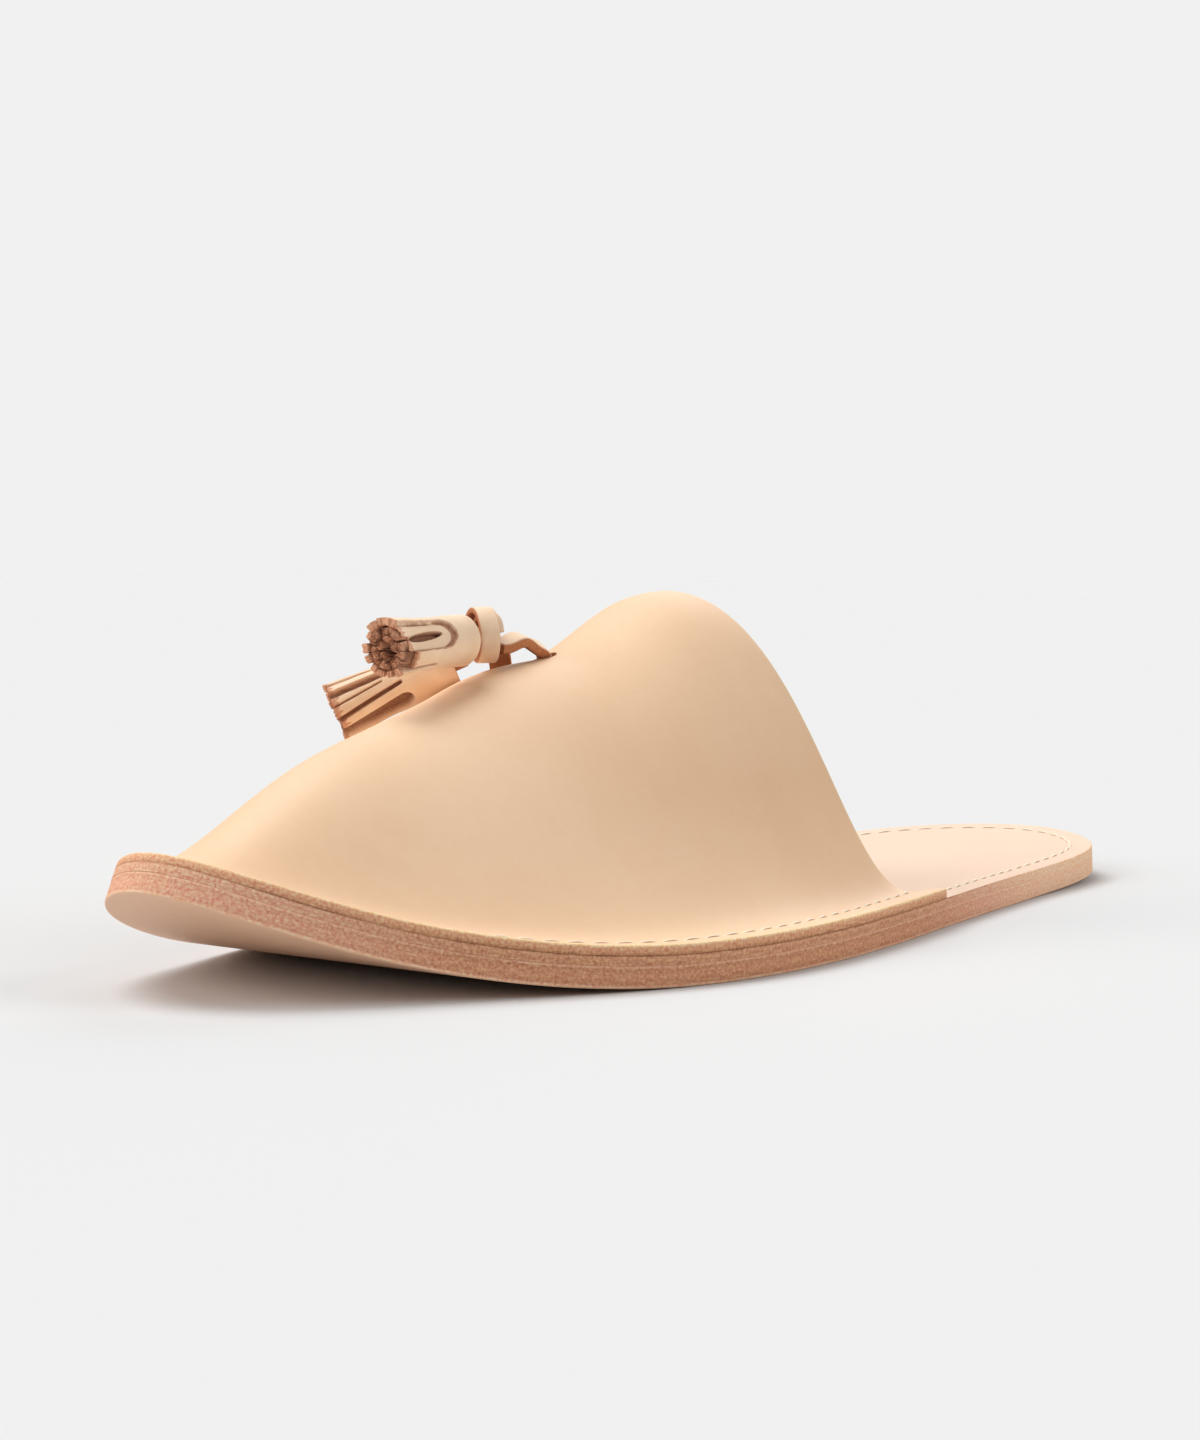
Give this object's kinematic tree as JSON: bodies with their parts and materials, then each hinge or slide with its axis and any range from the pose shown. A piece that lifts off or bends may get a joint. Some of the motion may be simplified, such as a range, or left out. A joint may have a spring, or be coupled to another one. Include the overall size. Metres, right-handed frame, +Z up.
{
  "type": "leather slipper",
  "caption": "Backless leather house slipper for the left foot: a moulded upper stitched down on a flat sole with a raised toe, and a tied lace that ends in rolled, fringed tassels.",
  "frame": {"origin": "on the floor under the middle of the sole: the bottom centre of the bounding box", "axes": "+Y from the heel to the toe, +X to the medial side (the wearer's right), +Z up"},
  "size_m": [0.1062, 0.2792, 0.0679],
  "materials": {
    "outsole": "thick natural sole leather, cut edge left raw and fibrous, matte",
    "insole": "pale natural leather, smooth grain side up, satin",
    "upper": "natural vegetable-tanned leather, moulded, smooth grain, satin",
    "lace": "flat leather strip, smooth outside, brown suede-like inside",
    "tassel": "rolled leather with cut fringe, smooth outside, brown raw edges"
  },
  "bodies": {
    "root": {"outsole": "outsole", "insole": "insole", "upper": "upper", "lace": "lace", "lace_knot": "lace", "tassel_a": "tassel", "tassel_b": "tassel"}
  },
  "joints": []
}
